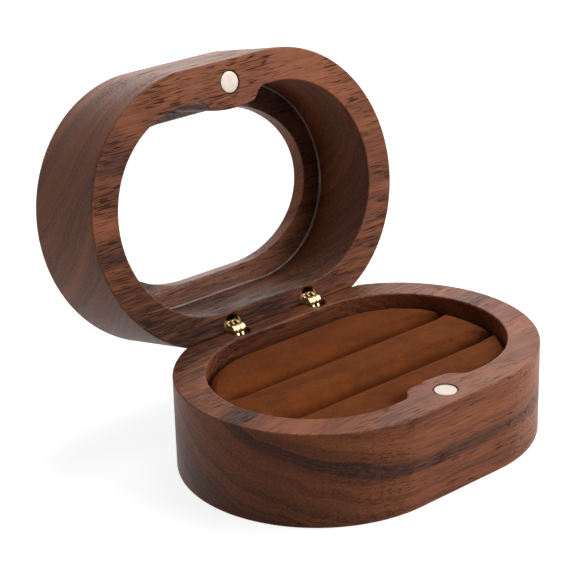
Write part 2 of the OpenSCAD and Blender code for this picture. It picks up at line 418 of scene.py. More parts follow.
def crisp_edges(mesh, angle):
    """Shades a mesh smooth, except across edges that turn by more than an angle in degrees."""
    shell = bmesh.new()
    shell.from_mesh(mesh)
    limit = math.radians(angle)
    for face in shell.faces:
        face.smooth = True
    for edge in shell.edges:
        edge.smooth = len(edge.link_faces) == 2 and edge.calc_face_angle(0) < limit
    shell.to_mesh(mesh)
    shell.free()


def modified(piece):
    """A new mesh of an object with its modifiers applied."""
    graph = bpy.context.evaluated_depsgraph_get()
    return bpy.data.meshes.new_from_object(piece.evaluated_get(graph))


def apply_modifiers(piece):
    """Gives an object the mesh that its modifiers make of its own."""
    plain = piece.data
    piece.data = modified(piece)
    piece.modifiers.clear()
    bpy.data.meshes.remove(plain)
    return piece.data


def cut_away(mesh, cutters):
    """The mesh with closed cutter meshes taken out of it."""
    body = link_new("cut_body", mesh)
    tools = [link_new(f"cutter_{k}", cutter) for k, cutter in enumerate(cutters)]
    for tool in tools:
        step = body.modifiers.new(tool.name, "BOOLEAN")
        step.operation = "DIFFERENCE"
        step.solver = "EXACT"
        step.object = tool
    cut = modified(body)
    for piece in [body, *tools]:
        bpy.data.objects.remove(piece)
    return cut


# ---------------------------------------------------------------------------
# Node helpers
# ---------------------------------------------------------------------------


def feed(tree, node, values):
    """Links or fills the inputs of a node, which are given by name or number."""
    for key, value in dict(values).items():
        if isinstance(value, bpy.types.NodeSocket):
            tree.links.new(value, node.inputs[key])
        else:
            node.inputs[key].default_value = value


def add(tree, kind, values=(), **settings):
    """Adds a node with its settings, and then feeds its inputs."""
    node = tree.nodes.new(kind)
    for key, value in settings.items():
        setattr(node, key, value)
    feed(tree, node, values)
    return node


def math_node(tree, operation, *values):
    """The output of a Math node."""
    return add(tree, "ShaderNodeMath", dict(enumerate(values)), operation=operation).outputs[0]


def plus(tree, first, second):
    """The sum of two values."""
    return math_node(tree, "ADD", first, second)


def minus(tree, first, second):
    """The first value less the second."""
    return math_node(tree, "SUBTRACT", first, second)


def times(tree, first, second):
    """The product of two values."""
    return math_node(tree, "MULTIPLY", first, second)


def axes(tree, vector):
    """The X, Y and Z of a vector."""
    return add(tree, "ShaderNodeSeparateXYZ", {0: vector}).outputs


def stretch(tree, vector, scale):
    """A vector with each axis scaled."""
    return add(tree, "ShaderNodeVectorMath", {0: vector, 1: scale}, operation="MULTIPLY").outputs[0]


def shaded(tree, tint, shade):
    """A colour made lighter or darker by a factor."""
    return add(tree, "ShaderNodeVectorMath", {0: tint, 3: shade}, operation="SCALE").outputs[0]


def noise(tree, vector, scale, detail, roughness=0.5, distortion=0.0):
    """Noise on a vector whose axes are scaled first."""
    return add(tree, "ShaderNodeTexNoise", {
        "Vector": stretch(tree, vector, scale), "Scale": 1.0, "Detail": detail,
        "Roughness": roughness, "Distortion": distortion,
    }).outputs["Fac"]


def step_up(tree, value, low, high, to_low=0.0, to_high=1.0):
    """A smooth step of a value between two levels."""
    return add(tree, "ShaderNodeMapRange", {
        "Value": value, "From Min": low, "From Max": high, "To Min": to_low, "To Max": to_high,
    }, interpolation_type="SMOOTHSTEP").outputs["Result"]


def blend_colours(tree, factor, first, second):
    """The colour output of a Mix node; a colour may be a socket or three numbers."""
    ends = [end if isinstance(end, bpy.types.NodeSocket) else (*end, 1.0) for end in (first, second)]
    values = {0: factor, 6: ends[0], 7: ends[1]}
    return add(tree, "ShaderNodeMix", values, data_type="RGBA", blend_type="MIX").outputs[2]


def new_group(name, inputs, outputs):
    """A node group, the sockets given to it and its output node; titles are listed by kind."""
    tree = bpy.data.node_groups.new(name, "ShaderNodeTree")
    for in_out, sockets in (("INPUT", inputs), ("OUTPUT", outputs)):
        for kind, titles in sockets.items():
            for title in titles:
                tree.interface.new_socket(title, in_out=in_out, socket_type="NodeSocket" + kind)
    return tree, tree.nodes.new("NodeGroupInput").outputs, tree.nodes.new("NodeGroupOutput")


def new_material(name):
    """A material with nothing but a Principled BSDF and its output."""
    material = bpy.data.materials.new(name)
    material.use_nodes = True
    tree = material.node_tree
    tree.nodes.clear()
    shader = add(tree, "ShaderNodeBsdfPrincipled")
    add(tree, "ShaderNodeOutputMaterial", {"Surface": shader.outputs[0]})
    return material, tree, shader


def object_mm(tree, location=(0, 0, 0), rotation=(0, 0, 0)):
    """Object coordinates in millimetres, moved and turned to suit a piece."""
    return add(tree, "ShaderNodeMapping", {
        "Vector": add(tree, "ShaderNodeTexCoord").outputs["Object"],
        "Location": location, "Rotation": rotation, "Scale": (1 / MM, 1 / MM, 1 / MM),
    }, vector_type="POINT").outputs[0]


def edge_weight_of(tree):
    """The attribute edge_weight, which is 1 on eased edges."""
    return add(tree, "ShaderNodeAttribute", attribute_name="edge_weight").outputs["Fac"]


def set_bump(tree, shader, height, distance):
    """Feeds a height through a Bump node to the shader's Normal."""
    bump = add(tree, "ShaderNodeBump", {"Height": height, "Distance": distance, "Strength": 1.0})
    feed(tree, shader, {"Normal": bump.outputs[0]})


# ---------------------------------------------------------------------------
# Materials
# ---------------------------------------------------------------------------

# The noises that warp the growth rings: their scale, and the millimetres they move a ring by
RING_WANDERS = (
    ((0.018, 0.05, 0.05), 7.0),
    ((0.06, 0.17, 0.17), 2.2),
    ((0.12, 0.6, 0.6), 0.7),
)
# How slowly growth changes along the grain
GROWTH_ALONG = 0.03
# The most that dark growth and a pore may cover
MOST_DARK = 0.95
MOST_PORE = 0.78
# What the fine noise adds to the roughness at its strongest
FINE_ROUGH = 0.12
WOOD_SPECULAR = 0.17
# How much light the pane lets by where it would throw a shadow
PANE_PASSES = 0.92


def growth_rings():
    """Node group: how far a point is from the heart of the tree, in millimetres.

    The heart runs nearly along X, at Heart Y and Heart Z where X is 0, and sinks by Lean for
    each millimetre along X. Slow noise warps the rings.
    """
    name = "growth_rings"
    if name in bpy.data.node_groups:
        return bpy.data.node_groups[name]
    tree, given, result = new_group(
        name, {"Vector": ["Grain"], "Float": ["Heart Y", "Heart Z", "Lean"]}, {"Float": ["Ring"]},
    )
    x, y, z = axes(tree, given["Grain"])
    y = minus(tree, y, given["Heart Y"])
    z = plus(tree, minus(tree, z, given["Heart Z"]), times(tree, x, given["Lean"]))
    heart = math_node(tree, "SQRT", plus(tree, times(tree, y, y), times(tree, z, z)))
    for scale, size in RING_WANDERS:
        wander = minus(tree, noise(tree, given["Grain"], scale, 2.0), 0.5)
        heart = plus(tree, heart, times(tree, wander, size))
    feed(tree, result, {"Ring": heart})
    return tree


def walnut_figure():
    """Node group of walnut: tone that follows the growth rings, fibres and pores along the grain.

    Fibres and pores are noise drawn out along the grain, so they are lines on a face along it
    and specks on the end grain. Pores crowd where the wood is dark.
    """
    name = "walnut_figure"
    if name in bpy.data.node_groups:
        return bpy.data.node_groups[name]
    tree, given, result = new_group(name, {
        "Vector": ["Grain"],
        "Float": ["Ring", "Figure", "Pores"],
        "Color": ["Light", "Middle", "Dark", "Pore"],
    }, {"Color": ["Color"], "Float": ["Roughness", "Height"]})
    grain = given["Grain"]
    along = times(tree, axes(tree, grain)[0], GROWTH_ALONG)
    layer = add(tree, "ShaderNodeCombineXYZ", {0: along, 1: given["Ring"]}).outputs[0]

    # On a face across the grain the pores are all but closed by sanding and oil
    facing = axes(tree, add(tree, "ShaderNodeTexCoord").outputs["Normal"])[0]
    open_face = step_up(tree, math_node(tree, "ABSOLUTE", facing), 0.15, 0.7, 1.0, 0.1)

    # Broad lighter and darker growth with thin lines inside it, and fibres coarse and fine
    broad = noise(tree, layer, (0.6, 0.20, 1.0), 3.0, 0.55)
    lines = noise(tree, layer, (1.0, 1.15, 1.0), 3.0, 0.6)
    fibre = noise(tree, grain, (0.10, 2.2, 2.2), 3.0, 0.6)
    fine = noise(tree, grain, (0.5, 9.0, 9.0), 2.0, 0.6)

    tone = times(tree, step_up(tree, broad, 0.40, 0.60), 0.4)
    tone = plus(tree, tone, times(tree, step_up(tree, lines, 0.38, 0.62), 0.25))
    tone = plus(tree, tone, times(tree, step_up(tree, fibre, 0.36, 0.64), 0.35))
    tint = blend_colours(tree, tone, given["Middle"], given["Light"])
    dark = times(tree, given["Figure"], step_up(tree, lines, 0.2, 0.75, 1.25, 0.7))
    dark = times(tree, dark, step_up(tree, fibre, 0.36, 0.62, 1.25, 0.8))
    tint = blend_colours(tree, math_node(tree, "MINIMUM", dark, MOST_DARK), tint, given["Dark"])
    shade = minus(tree, step_up(tree, fine, 0.2, 0.8, 0.84, 1.12), 1.0)
    tint = shaded(tree, tint, plus(tree, 1.0, times(tree, shade, open_face)))

    # Pores: short dashes along the grain, and longer, broader ones in the dark growth
    crowd = step_up(tree, noise(tree, layer, (2.0, 0.55, 1.0), 2.0), 0.35, 0.65)
    crowd = times(tree, plus(tree, crowd, given["Figure"]), given["Pores"])
    short = noise(tree, grain, (0.22, 4.0, 4.0), 1.0, 0.4)
    short = minus(tree, short, step_up(tree, crowd, 0.0, 1.0, 0.69, 0.535))
    long = noise(tree, grain, (0.11, 2.5, 2.5), 2.0, 0.6)
    long = minus(tree, long, step_up(tree, crowd, 0.2, 1.2, 0.75, 0.58))
    pore = math_node(tree, "MAXIMUM", step_up(tree, short, 0.0, 0.06), step_up(tree, long, 0.0, 0.08))
    pore = times(tree, pore, open_face)
    feed(tree, result, {
        "Color": blend_colours(tree, times(tree, pore, MOST_PORE), tint, given["Pore"]),
        "Roughness": plus(tree, times(tree, pore, 0.3), times(tree, fine, FINE_ROUGH)),
        "Height": minus(tree, times(tree, fibre, 0.35), pore),
    })
    return tree


def walnut(name, location, rotation, heart, lean, pores, growth, fade):
    """Oiled walnut, its grain placed and turned to suit one half of the box.

    Growth lists how dark the wood is at some distances from the heart, in millimetres; on the lid
    it also holds painted shade. Its dark figure fades between two places along the grain.
    """
    look = bpy.context.scene.ringbox_walnut
    material, tree, shader = new_material(name)
    grain = object_mm(tree, location, rotation)
    ring = add(tree, "ShaderNodeGroup", {
        "Grain": grain, "Heart Y": heart[0], "Heart Z": heart[1], "Lean": lean,
    }, node_tree=growth_rings()).outputs["Ring"]
    first, last = growth[0][0], growth[-1][0]
    way = add(tree, "ShaderNodeMapRange", {"Value": ring, "From Min": first, "From Max": last})
    ramp = add(tree, "ShaderNodeValToRGB", {"Fac": way.outputs["Result"]})
    ramp.color_ramp.interpolation = "EASE"
    stops = ramp.color_ramp.elements
    while len(stops) < len(growth):
        stops.new(0.5)
    for stop, (distance, darkness) in zip(stops, growth):
        stop.position = (distance - first) / (last - first)
        stop.color = (darkness, darkness, darkness, 1)

    colours = {name: (*getattr(look, name.lower()), 1) for name in ("Light", "Middle", "Dark", "Pore")}
    group = add(tree, "ShaderNodeGroup", {
        "Grain": grain, "Ring": ring, "Pores": pores, **colours,
        "Figure": times(tree, ramp.outputs["Color"], step_up(tree, axes(tree, grain)[0], *fade)),
    }, node_tree=walnut_figure())
    # Painted highlight: the eased edges are painted pale, broken up by slow noise, for the light that they catch
    patch = noise(tree, grain, (0.35, 0.8, 0.8), 5.0, 0.75)
    edge_weight = times(tree, edge_weight_of(tree), step_up(tree, patch, 0.46, 0.74, 0.05, 0.55))
    feed(tree, shader, {
        "Base Color": blend_colours(tree, edge_weight, group.outputs["Color"], look.eased_edge),
        "Roughness": plus(tree, group.outputs["Roughness"], look.roughness - FINE_ROUGH / 2),
        "Specular IOR Level": WOOD_SPECULAR,
    })
    set_bump(tree, shader, group.outputs["Height"], 0.00005)
    return material


def walnut_base():
    """Walnut of the base, whose rings sweep down from the left end to lie level in front."""
    growth = (
        (80, 0.3), (88, 0.25), (90, 0.03), (95.8, 0.06), (96.9, 0.3), (97.6, 1.0), (98.4, 0.8),
        (99.6, 0.75), (101, 0.35), (102.5, 0.2), (104, 0.45), (106, 0.3), (108.4, 0.5), (109.5, 0.7),
        (110.3, 0.3), (113, 0.7), (119, 0.75), (126, 0.6),
    )
    fade = (-32.0, -5.0, 1.0, 0.7)
    return walnut("walnut_base", (0, 0, 0), (0, 0, 0), (-50.0, 107.0), 0.067, 0.6, growth, fade)


def walnut_lid():
    """Walnut of the lid, whose grain lies as it does with the box shut."""
    # Partly wood figure, partly painted shade: the stops from 57 mm on darken the lid's hinge side, which lies in
    # the shaded valley when the lid is open, and the stops at 33.5 and 35.5 darken the hollow's end wall, which
    # lies in shade
    growth = (
        (10, 0.05), (20, 0.1), (24.5, 0.5), (27, 0.15), (30, 0.1), (33.5, 0.5), (35.5, 0.2),
        (38, 0.1), (39.5, 0.5), (41, 0.1), (43, 0.4), (45.5, 0.1), (49.5, 0.6), (51, 0.25),
        (57, 0.45), (63, 0.8), (75, 0.85),
    )
    place_at = SHUT.translation
    fade = (-10.0, 30.0, 1.0, 0.5)
    return walnut("walnut_lid", place_at, SHUT.to_euler(), (-29.0, 58.5), 0.02, 0.85, growth, fade)


def suede():
    """Napped suede: slow patches where the nap lies differently, and a fine felted tooth."""
    look = bpy.context.scene.ringbox_suede
    material, tree, shader = new_material("brown_suede")
    at = object_mm(tree)
    patch = noise(tree, at, (0.10, 0.16, 0.16), 3.0, 0.55, 0.4)
    mottle = noise(tree, at, (0.9, 1.3, 1.3), 3.0, 0.6)
    tooth = noise(tree, at, (7.0, 7.0, 7.0), 3.0, 0.7)
    lay = plus(tree, times(tree, patch, 0.65), times(tree, mottle, 0.35))
    tint = blend_colours(tree, step_up(tree, lay, 0.33, 0.66), look.dark, look.light)
    feed(tree, shader, {
        "Base Color": shaded(tree, tint, step_up(tree, tooth, 0.25, 0.75, 0.82, 1.14)),
        "Roughness": 0.95,
        "Specular IOR Level": 0.15,
        "Sheen Weight": 0.18,
        "Sheen Roughness": 0.45,
        "Sheen Tint": (0.8, 0.3, 0.12, 1),
    })
    set_bump(tree, shader, plus(tree, tooth, times(tree, mottle, 0.8)), 0.00012)
    return material


def card():
    """Plain grey-brown card with a flecked surface."""
    material, tree, shader = new_material("grey_card")
    fleck = noise(tree, object_mm(tree), (1.6, 1.6, 1.6), 4.0, 0.7)
    tint = blend_colours(tree, step_up(tree, fleck, 0.3, 0.7), (0.36, 0.29, 0.21), (0.48, 0.40, 0.30))
    feed(tree, shader, {"Base Color": tint, "Roughness": 0.9})
    set_bump(tree, shader, fleck, 0.00005)
    return material


def worked_metal():
    """Node group of worked metal: fine drawn lines and slow dull patches."""
    name = "worked_metal"
    if name in bpy.data.node_groups:
        return bpy.data.node_groups[name]
    tree, given, result = new_group(
        name, {"Vector": ["At", "Lines"], "Color": ["Metal"], "Float": ["Dull"]},
        {"Color": ["Color"], "Float": ["Roughness", "Height"]},
    )
    lines = noise(tree, given["At"], given["Lines"], 3.0, 0.65)
    patch = noise(tree, given["At"], (0.8, 0.8, 0.8), 3.0, 0.6)
    feed(tree, result, {
        "Color": shaded(tree, given["Metal"], step_up(tree, patch, 0.25, 0.75, 0.88, 1.06)),
        "Roughness": times(tree, plus(tree, lines, patch), given["Dull"]),
        "Height": lines,
    })
    return tree


def metal(name, tint, lines, roughness, dull, bump):
    """A worked metal with its own colour, direction of lines and polish."""
    material, tree, shader = new_material(name)
    group = add(tree, "ShaderNodeGroup", {
        "At": object_mm(tree), "Metal": (*tint, 1), "Lines": lines, "Dull": dull,
    }, node_tree=worked_metal())
    feed(tree, shader, {
        "Base Color": group.outputs["Color"],
        "Roughness": plus(tree, group.outputs["Roughness"], roughness),
        "Metallic": 1.0,
    })
    set_bump(tree, shader, group.outputs["Height"], bump)
    return material


def clear_pane():
    """Clear polished plate with a few fine wipe marks and a dull sawn edge; plain light passes."""
    look = bpy.context.scene.ringbox_pane
    material, tree, shader = new_material("clear_pane")
    wipe = noise(tree, object_mm(tree), (0.05, 0.4, 0.4), 2.0)
    sawn = times(tree, edge_weight_of(tree), 0.5)
    shadow = add(tree, "ShaderNodeLightPath").outputs["Is Shadow Ray"]
    feed(tree, shader, {
        "Base Color": (*look.tint, 1),
        "Roughness": math_node(tree, "MAXIMUM", step_up(tree, wipe, 0.5, 0.8, 0.0, 0.03), sawn),
        "Transmission Weight": 1.0,
        "IOR": 1.49,
        "Alpha": minus(tree, 1.0, times(tree, shadow, PANE_PASSES)),
    })
    return material


# ---------------------------------------------------------------------------
# The two halves of the box
# ---------------------------------------------------------------------------


def soft_least(a, b, blend):
    """The lesser of two heights, rounded over where they cross."""
    return (a + b - np.sqrt((a - b) ** 2 + blend**2)) / 2


def base_top(points):
    """Height of the base's rim: level, and cut down behind the pivot line by the bevel."""
    bevel = PIVOT.z - (points[:, 1] - PIVOT.y) * BEVEL_SLOPE
    return np.minimum(soft_least(np.full(len(points), BASE_H), bevel, BEVEL_BLEND), BASE_H)


def lid_rim(points):
    """Height of the shut lid's rim: the base's bevel, mirrored in the pivot line."""
    bevel = PIVOT.z + (points[:, 1] - PIVOT.y) * BEVEL_SLOPE
    return np.maximum(-soft_least(np.full(len(points), -LID_LOW[2]), -bevel, BEVEL_BLEND), LID_LOW[2])


def rod(name, x, y, low, high, radius, flare_at):
    """A round cutter along Z whose wall opens out by a small flare at one height."""
    flare = MOUTH_FLARE
    up = 1 if high > low else -1
    profile = [
        (radius * 0.5, low), (radius, low), (radius, flare_at - up * flare),
        (radius + flare, flare_at), (radius + flare, high), (radius * 0.5, high),
    ]
    mesh = turned_surface(name, profile)
    mesh.transform(Matrix.Translation(Vector((x, y, 0)) * MM))
    return mesh


def base_shell(ease):
    """The base as one profile carried round its outline.

    The profile starts at a pole under the box, turns up the wall with eased edges, crosses
    the rim, and goes down the hollow to a pole on its floor.
    """
    outer, out_n = stadium(BOX_L, BOX_W)
    hollow, in_n = stadium(HOLLOW_L, HOLLOW_W, with_boss=True)
    floor_z = BOARD_LOW[2]
    foot = eased(outer, out_n, 0.0, ease, 1, -1)[::-1]
    top = eased(outer, out_n, base_top, ease, 1, 1)
    lip = eased(hollow, in_n, base_top, ease, -1, 1)[::-1]
    shrink = [row(foot[0][:, :2] * s, 0.0) for s in (0.3, 0.65)]
    wall = between(foot[-1], top[0], WALL_ROWS)
    rim = between(top[-1], lip[0], RIM_ROWS)
    for level in rim:
        level[:, 2] = base_top(level[:, :2])
    inside = between(lip[-1], row(hollow, floor_z), 10)
    floor = [row(hollow * s, floor_z) for s in (1.0, 0.65, 0.3)]
    rows, eased_edge = joined(
        (shrink, 0), (foot, 1), (wall, 0), (top, 1), (rim, 0), (lip, 1), (inside, 0), (floor, 0),
    )
    return ring_surface("base_shell", rows, eased_edge=eased_edge)


def lid_shell(ease):
    """The shut lid as one profile, closed in a loop and carried round its outline.

    The profile goes from the rim up the wall, over the panel, down through the window,
    out along the ledge and down the hollow to the rim again.
    """
    outer, out_n = stadium(BOX_L, BOX_W)
    hollow, in_n = stadium(HOLLOW_L, HOLLOW_W, with_boss=True)
    window, win_n = stadium(WINDOW_L, WINDOW_W, round_share=WINDOW_ROUND)
    top_z, ledge_z = LID_HIGH[2], PANE_HIGH[2]
    lip_out = eased(outer, out_n, lid_rim, ease, 1, -1)[::-1]
    crown = eased(outer, out_n, top_z, ease, 1, 1)
    frame_top = eased(window, win_n, top_z, ease, -1, 1)[::-1]
    frame_low = eased(window, win_n, ledge_z, ease * 0.6, -1, -1)
    lip_in = eased(hollow, in_n, lid_rim, ease, -1, -1)
    wall = between(lip_out[-1], crown[0], WALL_ROWS)
    panel = between(crown[-1], frame_top[0], WALL_ROWS)
    frame_side = between(frame_top[-1], frame_low[0], 3)
    ledge_edge = row(hollow, ledge_z)
    ledge = between(frame_low[-1], ledge_edge, 6)
    inside = between(ledge_edge, lip_in[0], WALL_ROWS)
    rim = between(lip_in[-1], lip_out[0], RIM_ROWS)
    for level in rim:
        level[:, 2] = lid_rim(level[:, :2])
    rows, eased_edge = joined(
        (lip_out, 1), (wall, 0), (crown, 1), (panel, 0), (frame_top, 1), (frame_side, 0),
        (frame_low, 0), (ledge, 0), ([ledge_edge], 0), (inside, 0), (lip_in, 1), (rim, 0),
    )
    return ring_surface("lid_shell", rows, poles=False, eased_edge=eased_edge)


def mouth_cutters(low, high, rim, up):
    """Cutters for the pocket of a magnet and for the two barrel bores that open at a rim."""
    middle = (low + high) / 2
    radius = (high[0] - low[0]) / 2 + MAGNET_GAP
    bottom = low[2] if up > 0 else high[2]
    mouth = rim + up * CUTTER_OUT
    cutters = [rod("pocket", middle[0], middle[1], bottom, mouth, radius, rim)]
    bore_y, bore_end = PIVOT.y - BARREL_FORE, PIVOT.z - up * BORE_END
    for side in (-1, 1):
        cutters.append(rod("bore", side * HINGE_X, bore_y, bore_end, mouth, BORE_R, rim))
    return cutters


class RINGBOX_OT_base(bpy.types.Operator):
    """Builds the walnut base with its magnet pocket, bevel and barrel bores"""

    bl_idname = "ringbox.base"
    bl_label = "Walnut base"

    def execute(self, context):
        ease = context.scene.ringbox_walnut.ease / MM
        cutters = mouth_cutters(BASE_MAGNET_LOW, BASE_MAGNET_HIGH, BASE_H, 1)
        mesh = cut_away(base_shell(ease), cutters)
        place("base_walnut", mesh, walnut_base(), "base", "walnut", "base_body")
        return {"FINISHED"}


class RINGBOX_OT_lid(bpy.types.Operator):
    """Builds the walnut lid with its window, ledge, magnet pocket, bevel and barrel bores"""

    bl_idname = "ringbox.lid"
    bl_label = "Walnut lid"

    def execute(self, context):
        ease = context.scene.ringbox_walnut.ease / MM
        cutters = mouth_cutters(LID_MAGNET_LOW, LID_MAGNET_HIGH, LID_LOW[2], -1)
        mesh = cut_away(lid_shell(ease), cutters)
        place("lid_walnut", mesh, walnut_lid(), "lid", "walnut", "lid_body", matrix=OPENED)
        return {"FINISHED"}


class RINGBOX_OT_pane(bpy.types.Operator):
    """Builds the clear pane that lies on the ledge behind the window"""

    bl_idname = "ringbox.pane"
    bl_label = "Window pane"

    def execute(self, context):
        ease = context.scene.ringbox_pane.ease / MM
        edge, normals = stadium(HOLLOW_L, HOLLOW_W, with_boss=True, gap=PANE_GAP)
        low = eased(edge, normals, PANE_LOW[2], ease, 1, -1)[::-1]
        high = eased(edge, normals, PANE_HIGH[2], ease, 1, 1)
        flat = [low[0][:, :2] - 0.1 * normals, low[0][:, :2] - 1.0 * normals]
        flat += [flat[-1] * s for s in (0.65, 0.3)]
        under = [row(edge_in, PANE_LOW[2]) for edge_in in flat[::-1]]
        over = [row(edge_in, PANE_HIGH[2]) for edge_in in flat]
        rows, eased_edge = joined((under, 0), (low, 1), (high, 1), (over, 0))
        mesh = ring_surface("pane", rows, eased_edge=eased_edge)
        place("clear_window_pane", mesh, clear_pane(), "lid", "clear_pane", "window_pane", matrix=OPENED)
        return {"FINISHED"}


# ---------------------------------------------------------------------------
# Magnets
# ---------------------------------------------------------------------------


def disc_profile(radius, low, high):
    """Half section of a disc with rounded edges, from pole to pole."""
    ease = MAGNET_EASE
    a = np.linspace(0, math.pi / 2, 6)
    under = [(radius - ease + ease * math.sin(t), low + ease - ease * math.cos(t)) for t in a]
    over = [(radius - ease + ease * math.cos(t), high - ease + ease * math.sin(t)) for t in a]
    return [(radius * 0.4, low), *under, *over, (radius * 0.4, high)]


class RINGBOX_OT_magnets(bpy.types.Operator):
    """Builds the two plated disc magnets of the catch"""

    bl_idname = "ringbox.magnets"
    bl_label = "Catch magnets"

    def execute(self, context):
        look = context.scene.ringbox_metal
        plating = metal("nickel_plating", look.nickel, (9.0, 2.0, 2.0), 0.36, 0.14, 0.000004)
        for name, body, low, high, matrix in (
            ("base_catch_magnet", "base", BASE_MAGNET_LOW, BASE_MAGNET_HIGH, None),
            ("lid_catch_magnet", "lid", LID_MAGNET_LOW, LID_MAGNET_HIGH, OPENED),
        ):
            radius = (high[0] - low[0]) / 2
            mesh = turned_surface(name, disc_profile(radius, low[2], high[2]))
            mesh.transform(Matrix.Translation(Vector((0, (low[1] + high[1]) / 2, 0)) * MM))
            place(name, mesh, plating, body, "plated_magnet", f"{body}_magnet", matrix=matrix)
        return {"FINISHED"}


# ---------------------------------------------------------------------------
# Cushions
# ---------------------------------------------------------------------------

# The cloth is simulated on a model this many times as large as the real roll
CLOTH_SCALE = 10.0
CLOTH_VOXEL = 0.005
CLOTH_PRESSURE = 4.0
CLOTH_FRAMES = 20
# The lower part of a roll that is held while the rest swells
CLOTH_HELD = 0.35
# A roll's section: how much it arches, and how far and how sharply its shoulders turn down
ROLL_ARCH = 0.3
ROLL_DROP = 1.9
ROLL_POWER = 18
# How far below its place the crown starts, and how far in the lip and the side stand
CROWN_SINK = 0.15
LIP_SHARE = 0.985
SIDE_SHARE = 0.965
# Cloth over foam may stand this far over its plain solid
CROWN_PROUD = 0.2


def roll_outline(low, high):
    """Outline of one roll seen from above, going round from its front right corner.

    It is the hollow's outline between two straight cuts at low and high Y: the cuts run
    along X, the ends follow the round wall and the front of the first roll follows the boss.
    """
    gap = HOLLOW_L / 2 - BOARD_HIGH[0]
    r = HOLLOW_W / 2 - gap
    c = (HOLLOW_L - HOLLOW_W) / 2
    start, stop = (math.asin(max(-1.0, min(1.0, y / r))) for y in (low, high))
    a = np.linspace(start, stop, 40)
    end_x, end_y = c + r * np.cos(a), r * np.sin(a)
    back_x = np.linspace(end_x[-1], -end_x[-1], 120)[1:-1]
    front_x, rises = front_stretch(end_x[0])
    front_x, rises = front_x[1:-1], rises[1:-1]
    wall = -HOLLOW_W / 2 + rises + gap
    front_y = np.maximum(low, wall)
    x = np.concatenate([end_x, back_x, -end_x[::-1], front_x])
    y = np.concatenate([end_y, np.full(len(back_x), high), end_y[::-1], front_y])
    return np.stack([x, y], 1)


def roll_form(name, low, high):
    """A roll before its cloth swells: rows from its outline in to a line along its middle.

    A point at share t of the way in has height crown - arch * (1 - t) ** 2 - drop *
    (1 - t) ** power on top, with its side drawn in a little under the lip, and lies flat on
    the card below.
    """
    outline = roll_outline(low[1], high[1])
    half = (high[1] - low[1]) / 2
    spine_x = np.clip(outline[:, 0], low[0] + half, high[0] - half)
    spine = np.stack([spine_x, np.full(len(outline), (low[1] + high[1]) / 2)], 1)
    crown, bed = high[2] - CROWN_SINK, low[2]
    lip = crown - ROLL_ARCH - ROLL_DROP

    def drawn_in(part, height):
        """The outline drawn in to a part of its way from the middle line, at a height."""
        return row(spine + (outline - spine) * part, height)

    rows = [drawn_in(part, bed) for part in (0.02, 0.5, 0.93)]
    rows += [drawn_in(SIDE_SHARE, bed + (lip - bed) * up) for up in (0.03, 0.5)]
    for t in np.linspace(0, 0.98, 26) ** 1.8:
        top = crown - ROLL_ARCH * (1 - t) ** 2 - ROLL_DROP * (1 - t) ** ROLL_POWER
        rows.append(drawn_in(LIP_SHARE - LIP_SHARE * t, top))
    return ring_surface(name, rows)


def even_out(piece):
    """Gives a roll even faces, as cloth needs."""
    remesh = piece.modifiers.new("even", "REMESH")
    remesh.mode = "VOXEL"
    remesh.voxel_size = CLOTH_VOXEL
    apply_modifiers(piece)


def swell(piece, puff):
    """Blows a roll up a little as cloth over foam, with its underside held, and caps the move."""
    scene = bpy.context.scene
    rest = read_points(piece.data)
    low, high = rest[:, 2].min(), rest[:, 2].max()
    held = np.nonzero(rest[:, 2] < low + CLOTH_HELD * (high - low))[0]
    piece.vertex_groups.new(name="held").add(held.tolist(), 1.0, "REPLACE")
    cloth = piece.modifiers.new("cloth", "CLOTH")
    cloth.settings.vertex_group_mass = "held"
    cloth.settings.use_pressure = True
    cloth.settings.uniform_pressure_force = CLOTH_PRESSURE
    cloth.settings.effector_weights.gravity = 0.0
    cloth.settings.tension_stiffness = 12.0
    cloth.settings.bending_stiffness = 0.4
    cloth.point_cache.frame_start = 1
    cloth.point_cache.frame_end = CLOTH_FRAMES
    for step in range(1, CLOTH_FRAMES + 1):
        scene.frame_set(step)
    graph = bpy.context.evaluated_depsgraph_get()
    blown = piece.evaluated_get(graph)
    move = read_points(blown.to_mesh()) - rest
    blown.to_mesh_clear()
    piece.modifiers.clear()
    piece.vertex_groups.clear()
    scene.frame_set(1)
    far = np.linalg.norm(move, axis=1, keepdims=True)
    move *= np.minimum(1.0, puff * CLOTH_SCALE / np.maximum(far, 1e-9))
    write_points(piece.data, rest + move)


def finish_roll(piece, low, high):
    """Brings a swollen roll back to its real size, inside its own place, and smooths it once."""
    finer = piece.modifiers.new("finer", "SUBSURF")
    finer.levels = finer.render_levels = 1
    mesh = apply_modifiers(piece)
    points = read_points(mesh) / CLOTH_SCALE
    write_points(mesh, np.clip(points, low * MM, (high + (0, 0, CROWN_PROUD)) * MM))
    return mesh


class RINGBOX_OT_cushions(bpy.types.Operator):
    """Builds the three suede rolls that the rings stand between, and gives the card under them its colour"""

    bl_idname = "ringbox.cushions"
    bl_label = "Suede cushions"

    def execute(self, context):
        look = context.scene.ringbox_suede
        cloth = suede()
        for place_name in ("front", "middle", "back"):
            node = f"cushion_{place_name}"
            low, high = node_box(node)
            mesh = roll_form(node + "_form", low, high)
            mesh.transform(Matrix.Scale(CLOTH_SCALE, 4))
            blank = link_new(node + "_blank", mesh)
            even_out(blank)
            swell(blank, look.puff)
            mesh = finish_roll(blank, low, high)
            bpy.data.objects.remove(blank)
            roll = place(f"suede_roll_{place_name}", mesh, cloth, "base", "suede", node, sharp=180)
        board = frame["nodes"]["cushion_board"]
        board.data.materials.clear()
        board.data.materials.append(card())
        return {"FINISHED"}


# ---------------------------------------------------------------------------
# Hinges
# ---------------------------------------------------------------------------


